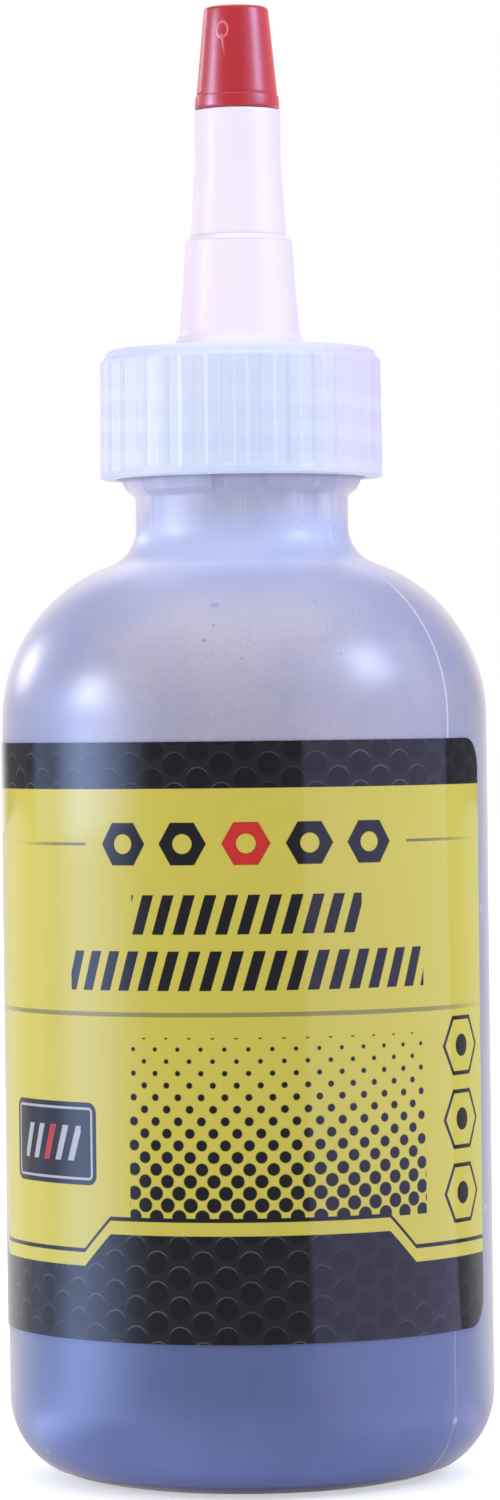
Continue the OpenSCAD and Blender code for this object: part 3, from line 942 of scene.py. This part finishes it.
def loose_marks(s, film):
    """Smears under the bead, a smudge on the shoulder, and dark and pale specks."""
    z = s.z_mm
    smear = s.noise(260, 4, 0.7, stretch=(1, 1, 0.5), offset=6.0).span(0.5, 0.75)
    s.paint(srgb(150, 156, 190), smear * z.span(93, 96) * z.fade(97.2, 97.8) * 0.6)
    speckle = s.specks(820, 0.17, 0.45) * s.noise(70, 2, 0.5, offset=7.0).span(0.42, 0.56)
    s.paint(srgb(104, 106, 146), speckle * film.most(0.25) * z.span(70, 78) * 0.9)
    along = (s.azimuth - SMUDGE_ANGLE) * (BODY_R / MM)
    smudge = (length_of(along * 0.45, z - SMUDGE_Z) - 0.22).inside(0.16)
    s.paint(srgb(124, 132, 184), smudge * 0.6)
    pale = s.specks(300, 0.14, 0.1, offset=4.0)
    s.paint(srgb(190, 194, 224), pale * z.fade(60, 72) * 0.7)


def painted_step_shadow_and_seam_light(s):
    """Painted shadow under the base's step, darkest at the flash on its right, and painted highlights on
    the parting lines.
    """
    step_z = (BASE_EDGE_R + BASE_EDGE_R * math.sin(math.radians(BASE_STEP_DEG))) / MM
    flash = s.azimuth.span(0.85, 1.0) * s.azimuth.fade(1.35, 1.45)
    # Painted shadow under the step
    s.paint(srgb(58, 62, 104), s.z_mm.near(step_z - 0.12, 0.1, 0.12) * (flash * 0.55 + 0.3))
    for seam in SEAM_ANGLES:
        away = (s.azimuth - (seam + math.pi / 2)).wrapped(2 * math.pi) * (BODY_R / MM)
        # Painted highlight along the parting line
        s.paint(srgb(220, 224, 250), away.near(0, 0.13, 0.1) * (s.z_mm.span(20, 60) * 0.55 + 0.25))


def bottle_plastic():
    """Satin plastic that looks translucent, as its powder and dust are painted on the outside, with
    painted light and shade.
    """
    s = Surface("bottle_plastic", IOR=1.5, Specular_IOR_Level=0.7, Coat_Weight=0.5, Coat_Roughness=0.28,
                Sheen_Weight=1.0, Sheen_Roughness=0.32, Sheen_Tint=(1.0, 0.88, 0.86, 1))
    cloud = s.noise(45, 4, 0.55)
    pull = s.noise(520, 3, 0.65, stretch=(1, 1, 0.12), offset=14.0)
    rough_z = s.z_mm + (cloud - 0.5) * 9
    side = s.azimuth.math("SINE")
    neck = s.z_mm.span(93.5, 96.5)
    body_colours_and_painted_light(s, side, rough_z)
    film = dust_film(s, rough_z)
    neck_marks_and_rim_light(s, side, neck, pull)
    loose_marks(s, film)
    painted_step_shadow_and_seam_light(s)
    grain = s.noise(2600, 2, 0.6)
    wave = s.noise(90, 2, 0.5, offset=11.0)
    s.bump(grain * 0.1 + wave + pull * neck * 0.5, 0.05 * MM)
    s.set("Roughness", 0.27 + cloud * 0.1 + s.z_mm.span(90, 94) * 0.2)
    return s.done()


def cap_plastic():
    """Milky plastic: faintly blue on the cap, warmer on the spout, with painted light and shade, and the
    thread shining through.
    """
    s = Surface("cap_plastic", Roughness=0.4, IOR=1.5, Specular_IOR_Level=0.3, Subsurface_Weight=0.4,
                Subsurface_Scale=0.8 * MM, Subsurface_Radius=(1.0, 1.0, 1.0))
    z = s.z_mm
    side = s.azimuth.math("SINE")
    cap_z, cap_top, step_z = CAP_Z / MM, CAP_TOP / MM, STEP_Z / MM
    cloud = s.noise(120, 3, 0.5)
    s.start(srgb(212, 222, 255), srgb(218, 226, 255), (z + cloud * 3).span(103, 112))
    # Darker on the left as painted shade, and pinker on the right as a painted tint of the light there
    s.paint(srgb(202, 206, 247), (-side).span(0.3, 1.0))
    s.paint(srgb(215, 206, 251), side.span(0.2, 1.0))

    # Painted light in the grooves and painted highlights on the edges of the ribs, clearest at the left
    away = abs(s.azimuth.wrapped(2 * math.pi / RIB_COUNT) * (CAP_R / MM))
    ribbed = z.fade(cap_top - 1.8, cap_top - 0.9) * z.span(cap_z + 0.6, cap_z + 0.9)
    clear = ribbed * ((-side).span(-0.5, 0.7) * 0.7 + 0.3)
    s.paint(srgb(226, 232, 255), away.span(0.6, 0.9) * clear * 0.5)
    s.paint(srgb(240, 244, 255), away.near(0.62, 0.05, 0.12) * clear * 0.7)

    # Spout, darker and pinker at its sides as painted shade and rim tint, with painted shade along the two
    # edges of its step
    streak = s.noise(420, 2, 0.5, stretch=(1, 1, 0.06), offset=3.0)
    pale = s.mix(srgb(252, 237, 247), srgb(244, 236, 251), streak.span(0.35, 0.65))
    # Darker and pinker at the sides: painted shade and a painted rim tint
    pale = s.mix(pale, srgb(234, 222, 236), side.span(0.25, 0.95))
    pale = s.mix(pale, srgb(226, 214, 226), (-side).span(0.25, 0.95))
    s.paint(pale, z.span(111.8, 113.4))
    # Painted shade along the two edges of the step
    edges = z.near(step_z - 0.25, 0.07, 0.12).most(z.near(step_z + 0.35, 0.07, 0.12))
    s.paint(srgb(214, 208, 234), edges * 0.8)

    # Thread inside the skirt, and painted light on the underside, which is painted white
    pitch = THREAD_PITCH / MM
    coil = (z - cap_z - 1.4 + s.azimuth / (2 * math.pi) * pitch).wrapped(pitch).near(0, 0.75, 0.5)
    s.paint(srgb(226, 236, 255), coil * z.fade(107, 110) * 0.25)
    # Underside painted white: painted light where it would be in shade
    s.paint((1.0, 1.0, 1.0), z.fade(cap_z + 0.02, cap_z + 0.12))
    s.bump(s.noise(1800, 2, 0.5) * 0.1 + s.noise(140, 2, 0.5), 0.02 * MM)
    return s.done()


def tip_plastic():
    """Red plastic, with painted light and shade, a small scuff near its top and fine scratches along it.
    """
    s = Surface("tip_plastic", Roughness=0.33, IOR=1.8, Specular_Tint=(0.66, 0.8, 1.0, 1),
                Sheen_Weight=0.5, Sheen_Roughness=0.4, Sheen_Tint=(1.0, 0.72, 0.66, 1))
    z = s.z_mm
    side = s.azimuth.math("SINE")
    s.start(srgb(190, 28, 36), srgb(200, 41, 49), s.noise(300, 3, 0.5))
    # Darker on the left as painted shade, and lighter at the right edge as painted light
    s.paint(srgb(180, 16, 22), (-side).span(0.4, 0.95))
    s.paint(srgb(226, 82, 88), side.span(0.75, 1.0))
    along = (s.azimuth - SCUFF_ANGLE) * SCUFF_R
    loop = length_of(along, (z - SCUFF_Z) * 0.7).near(0.55, 0.08, 0.1)
    tail = (along - (SCUFF_Z - z) * 0.16).near(-0.1, 0.07, 0.08)
    tail = tail * z.fade(SCUFF_Z - 0.6, SCUFF_Z - 0.3) * z.span(SCUFF_Z - 3.2, SCUFF_Z - 1.0)
    mark = loop.most(tail * 0.8)
    s.paint(srgb(232, 140, 148), mark * 0.75)
    scratch = s.noise(900, 3, 0.7, stretch=(1, 1, 0.08), offset=2.0).span(0.64, 0.74)
    s.paint(srgb(206, 84, 94), scratch * 0.35)
    s.bump(s.noise(900, 3, 0.5) * 0.5 + s.noise(220, 2, 0.5) + mark, 0.02 * MM)
    return s.done()


def graphite():
    s = Surface("graphite", Roughness=0.6, Metallic=0.2)
    grain = s.noise(1500, 4, 0.7)
    s.start(srgb(58, 60, 68), srgb(92, 94, 104), grain)
    s.bump(grain, 0.1 * MM)
    return s.done()


def liner_foam():
    s = Surface("liner_foam", Roughness=0.8)
    cells = s.noise(2600, 2, 0.5)
    s.start(srgb(226, 226, 222), srgb(246, 246, 243), cells)
    s.bump(cells, 0.05 * MM)
    return s.done()


def dimples(x, z):
    """Offset rows of dimples: the darker inside of each, and the lit arc at its upper rim."""
    pitch, row, radius, blur = 4.6, 2.9, 1.12, 0.1
    hollow, lit = [], []
    for shift_x, shift_z in ((0, 0), (pitch / 2, row / 2)):
        dx = (x + shift_x).wrapped(pitch)
        dz = (z + shift_z).wrapped(row)
        distance = length_of(dx, dz)
        hollow.append((distance - radius).inside(blur))
        lit.append(distance.near(radius, 0.05, blur) * (dz / radius).span(0.1, 0.9))
    return hollow[0].most(hollow[1]), lit[0].most(lit[1])


def nut_row(x, z):
    """A row of hexagon nuts, its middle one, and the rules that fade outwards beside it."""
    pitch = 6.2
    z = z - 63.4
    nuts = hexagon_distance(x.wrapped(pitch), z, 2.05).most(abs(x) - 15.4)
    hole = length_of(x.wrapped(pitch), z) - 0.95
    ink = nuts.inside() * (1 - hole.inside())
    rules = z.near(0, 0.14) * (16.8 - abs(x)).inside() * abs(x).fade(18, 30)
    return ink, ink * x.near(0, pitch / 2), rules


def hatched_bars(x, z):
    """A short and a long bar of slanted strokes."""
    strokes = (x - z * 0.3).wrapped(2.1).near(0, 0.58)
    upper = box_distance(x, z - 56.6, 11.5, 1.9)
    lower = box_distance(x, z - 51.2, 18.9, 1.9)
    return strokes * upper.least(lower).inside()


def dot_field(x, z):
    """Dots in offset rows, which shrink upwards."""
    pitch = 2.3
    radius = 0.72 - z.span(27.0, 45.5) * 0.52
    dots = []
    for shift in (0, pitch / 2):
        away = length_of((x + shift).wrapped(pitch), (z + shift).wrapped(pitch))
        dots.append((away - radius).inside(0.1))
    return dots[0].most(dots[1]) * box_distance(x - 3.5, z - 36.0, 15.5, 8.8).inside()


def small_panel(x, z):
    """A panel at the left: its ground, its frame with slanted strokes, and the red stroke."""
    x, z = x + 22.5, z - 34.4
    panel = box_distance(x, z, 6.6, 4.0, 1.0)
    slant = x - z * 0.35
    strokes = slant.wrapped(1.9).near(0, 0.42) * box_distance(x, z, 4.6, 1.7).inside()
    return panel.inside(), panel.near(-0.6, 0.12).most(strokes), strokes * slant.near(0, 0.95)


def nut_column(x, z):
    """A column of hexagon outlines at the right, each with a dot in it."""
    x, z = x - 25.0, z - 36.0
    row = z.wrapped(7.2)
    outlines = hexagon_distance(x, row, 2.7).near(0, 0.2)
    dots = (length_of(x, row) - 1.1).inside()
    return outlines.most(dots) * z.near(0, 10.6)


def ruled_block(x, z):
    """A framed block of rules at the back."""
    x, z = LABEL_R_MM * math.pi - abs(x), z - 46.0
    rules = z.wrapped(3.2).near(0, 0.16) * box_distance(x, z, 19.0, 13.0).inside()
    return rules.most(box_distance(x, z, 22.0, 15.0, 1.5).near(0, 0.2))


def label_film():
    """Yellow film with dimpled black bands, hexagons, hatched bars, dots and rules."""
    s = Surface("label_film", Roughness=0.5, Specular_IOR_Level=0.1, Coat_Weight=1.0,
                Coat_Roughness=0.04, Coat_IOR=1.5)
    x = s.azimuth * LABEL_R_MM
    z = s.z_mm
    s.start(srgb(202, 189, 80), srgb(206, 194, 86), s.noise(25, 3, 0.5))
    # Lighter towards the sides: painted light
    s.paint(srgb(210, 198, 86), (abs(x) / 24).span(0.75, 1.15))

    # Ink between the bands, and the stripe along the lower one's tabs
    above = z - ((17.5 - abs(x.wrapped(51.0))).most(0.0).least(3.2) + 22.6)
    nuts, red_nut, side_rules = nut_row(x, z)
    panel, panel_lines, red_stroke = small_panel(x, z)
    long_rule = z.near(47.0, 0.22) * abs(x + 4).fade(22, 36)
    ink = nuts.most(hatched_bars(x, z)).most(dot_field(x, z)).most(nut_column(x, z))
    ink = ink.most(above.near(1.5, 0.2)).most(ruled_block(x, z) * 0.8).most(panel)
    s.paint(srgb(120, 118, 84), side_rules.most(long_rule * 0.8))
    s.paint(srgb(30, 29, 33), ink)
    s.paint(srgb(200, 48, 44), red_nut)
    s.paint(srgb(176, 180, 190), panel_lines)
    s.paint(srgb(196, 44, 46), red_stroke)

    # Bands, and grime over all
    hollow, lit = dimples(x, z)
    worn = s.noise(55, 3, 0.6, offset=8.0).span(0.38, 0.62)
    band = s.mix(srgb(36, 35, 40), srgb(27, 26, 30), hollow)
    band = s.mix(band, srgb(96, 98, 106), lit * worn * 0.9)
    s.paint(band, above.inside().most((68.7 - z).inside()))
    grime = s.noise(160, 5, 0.7, offset=5.0).span(0.62, 0.8)
    s.paint(srgb(128, 124, 76), grime * 0.12)
    s.bump(s.noise(70, 2, 0.4, offset=2.0) + s.noise(500, 2, 0.5) * 0.04, 0.02 * MM)
    return s.done()


def dress(obj, material, body, slot, *nodes):
    obj.data.materials.append(material)
    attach(obj, body)
    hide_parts(*nodes)


dress(make_bottle(), bottle_plastic(), "bottle", "bottle_plastic", "bottle")
dress(make_label(), label_film(), "bottle", "label_film", "label")
dress(make_powder(), graphite(), "bottle", "graphite", "graphite_powder")
dress(make_liner(), liner_foam(), "liner", "liner_foam", "seal_liner")
dress(make_spout_cap(), cap_plastic(), "spout_cap", "cap_plastic", "spout_cap")
dress(make_tip_cap(), tip_plastic(), "tip_cap", "tip_plastic", "tip_cap")


# Camera, as the photo was taken: about half way up the object, and rolled a little
PHOTO_W, PHOTO_H = 500, 1500
EYE_Y_PX = 711.8
AXIS_X_PX = 244.3
FRAME_H = 150.0 * MM
EYE_DISTANCE = 563.0 * MM
EYE_Z = 76.0 * MM
ROLL = 0.0119
SENSOR = 36.0


def make_camera():
    data = bpy.data.cameras.new("camera")
    data.sensor_width = SENSOR
    data.lens = SENSOR * EYE_DISTANCE / FRAME_H
    data.shift_x = (PHOTO_W / 2 - AXIS_X_PX) / PHOTO_H
    data.shift_y = (EYE_Y_PX - PHOTO_H / 2) / PHOTO_H
    data.clip_start = 0.01
    data.clip_end = 20
    camera = bpy.data.objects.new("camera", data)
    camera.location = (0, -EYE_DISTANCE, EYE_Z)
    camera.rotation_euler = (math.pi / 2, ROLL, 0)
    bpy.context.scene.collection.objects.link(camera)
    bpy.context.scene.camera = camera


# Light. Azimuth 0 is the camera's side, and +90 degrees is the right.
# Each glow is the light that glossy surfaces see of a side panel. Matte ones get more of the room.
ROOM = 0.10
ROOM_FOR_MATTE = 0.45
LEFT_GLOW = (3.20, 4.35, 7.50)
RIGHT_GLOW = (0.52, 0.50, 0.92)


def lamp(name, azimuth, distance, low_z, high_z, width, radiance, colour):
    """An upright rectangular lamp that faces the axis."""
    data = bpy.data.lights.new(name, "AREA")
    data.shape = "RECTANGLE"
    data.size, data.size_y = width, high_z - low_z
    data.energy = radiance * math.pi * data.size * data.size_y
    data.color = colour
    light = bpy.data.objects.new(name, data)
    angle = math.radians(azimuth)
    light.location = (distance * math.sin(angle), -distance * math.cos(angle), (low_z + high_z) / 2)
    light.rotation_euler = (math.pi / 2, 0, angle)
    bpy.context.scene.collection.objects.link(light)


def degrees_span(value, start, end):
    """0 below one angle in degrees, 1 above another and smooth between."""
    return value.span(math.radians(start), math.radians(end))


def window(value, start, end, soft):
    """1 between two angles in degrees, with soft edges."""
    half = soft / 2
    past_end = degrees_span(value, end - half, end + half)
    return degrees_span(value, start - half, start + half) * (1 - past_end)


def left_panel(azimuth):
    """A soft panel, brightest in its middle, with a dim wing towards the back."""
    wing = degrees_span(azimuth, -122, -112)
    middle = degrees_span(azimuth, -104, -82)
    return (1 - degrees_span(azimuth, -82, -42)) * (wing * 0.17 + middle * 0.83)


def right_panel(azimuth):
    return window(azimuth, 27, 109, 3)


def make_world():
    """A dim room, white paper behind the object, lit panels beside and above it, and a lamp behind it."""
    world = bpy.data.worlds.new("studio")
    bpy.context.scene.world = world
    world.use_nodes = True
    tree = world.node_tree
    path = tree.nodes.new("ShaderNodeLightPath")
    coordinates = tree.nodes.new("ShaderNodeTexCoord")
    split = tree.nodes.new("ShaderNodeSeparateXYZ")
    tree.links.new(coordinates.outputs["Generated"], split.inputs[0])
    x, y, z = (Field(tree, split.outputs[i]) for i in range(3))
    azimuth = azimuth_of(x, y)
    height = z.math("ARCSINE")
    camera_ray = Field(tree, path.outputs["Is Camera Ray"])
    seen = camera_ray.most(Field(tree, path.outputs["Is Transmission Ray"]))
    mirrored = Field(tree, path.outputs["Is Glossy Ray"])

    behind = degrees_span(abs(azimuth), 146, 168)
    overhead = degrees_span(height, 38, 70) * (1 - behind)
    left = left_panel(azimuth) * height.fade(0.10, 0.36)
    right = right_panel(azimuth) * height.fade(0.5, 1.0)
    rear_lamp = window(azimuth, -143, -132, 3) * window(height, 9, 20, 3)

    # Each light as matte surfaces see it, its colour as glossy ones do, and where it is
    lights = [
        (0.90, (1.00, 0.94, 0.98), behind),
        (0.82, (0.85, 0.90, 1.00), overhead),
        (3.70, LEFT_GLOW, left),
        (0.60, RIGHT_GLOW, right),
        (7.00, (8.50, 7.60, 8.20), rear_lamp),
    ]
    channels = []
    for i in range(3):
        total = (1 - mirrored) * ROOM_FOR_MATTE + ROOM
        for plain, glossy, shape in lights:
            total = total + shape * (mirrored * (glossy[i] - plain) + plain)
        channels.append(total + (1 - total) * seen)
    tree.links.new(combined(tree, channels), tree.nodes["Background"].inputs["Color"])


def make_floor():
    """White paper, which the camera sees white but for the object's shadow."""
    half = 3.0
    mesh = bpy.data.meshes.new("floor")
    corners = [(x * half, y * half, 0) for x, y in ((-1, -1), (1, -1), (1, 1), (-1, 1))]
    mesh.from_pydata(corners, [], [(0, 1, 2, 3)])
    floor = bpy.data.objects.new("floor", mesh)
    bpy.context.scene.collection.objects.link(floor)
    s = Surface("floor_paper", Roughness=0.9, Emission_Strength=1.0)
    path = s.tree.nodes.new("ShaderNodeLightPath")
    seen = Field(s.tree, path.outputs["Is Camera Ray"]) * 0.52
    glossy = Field(s.tree, path.outputs["Is Glossy Ray"])
    front = 1 - degrees_span(abs(s.azimuth), 105, 140)
    # Glossy rays see the floor dark except towards the back, and glowing with the side panels' light from
    # a few centimetres off the axis
    s.start((0.74, 0.74, 0.74), (0.10, 0.10, 0.12), glossy * front)
    mirrored = glossy * length_of(s.x, s.y).span(0.020, 0.045)
    left = left_panel(s.azimuth) * mirrored * 0.47
    right = right_panel(s.azimuth) * mirrored * 1.2
    glow = [seen + left * LEFT_GLOW[i] + right * RIGHT_GLOW[i] for i in range(3)]
    s.set("Emission Color", combined(s.tree, glow))
    mesh.materials.append(s.done())


make_camera()
make_world()
make_floor()
lamp("left_lamp", azimuth=-78, distance=0.50, low_z=0.15, high_z=0.29, width=0.14,
     radiance=12.0, colour=(0.95, 0.96, 1.0))
lamp("right_lamp", azimuth=67, distance=0.32, low_z=0.20, high_z=0.35, width=0.12,
     radiance=9.5, colour=(0.70, 0.80, 1.0))
bpy.context.scene.view_settings.view_transform = "Standard"
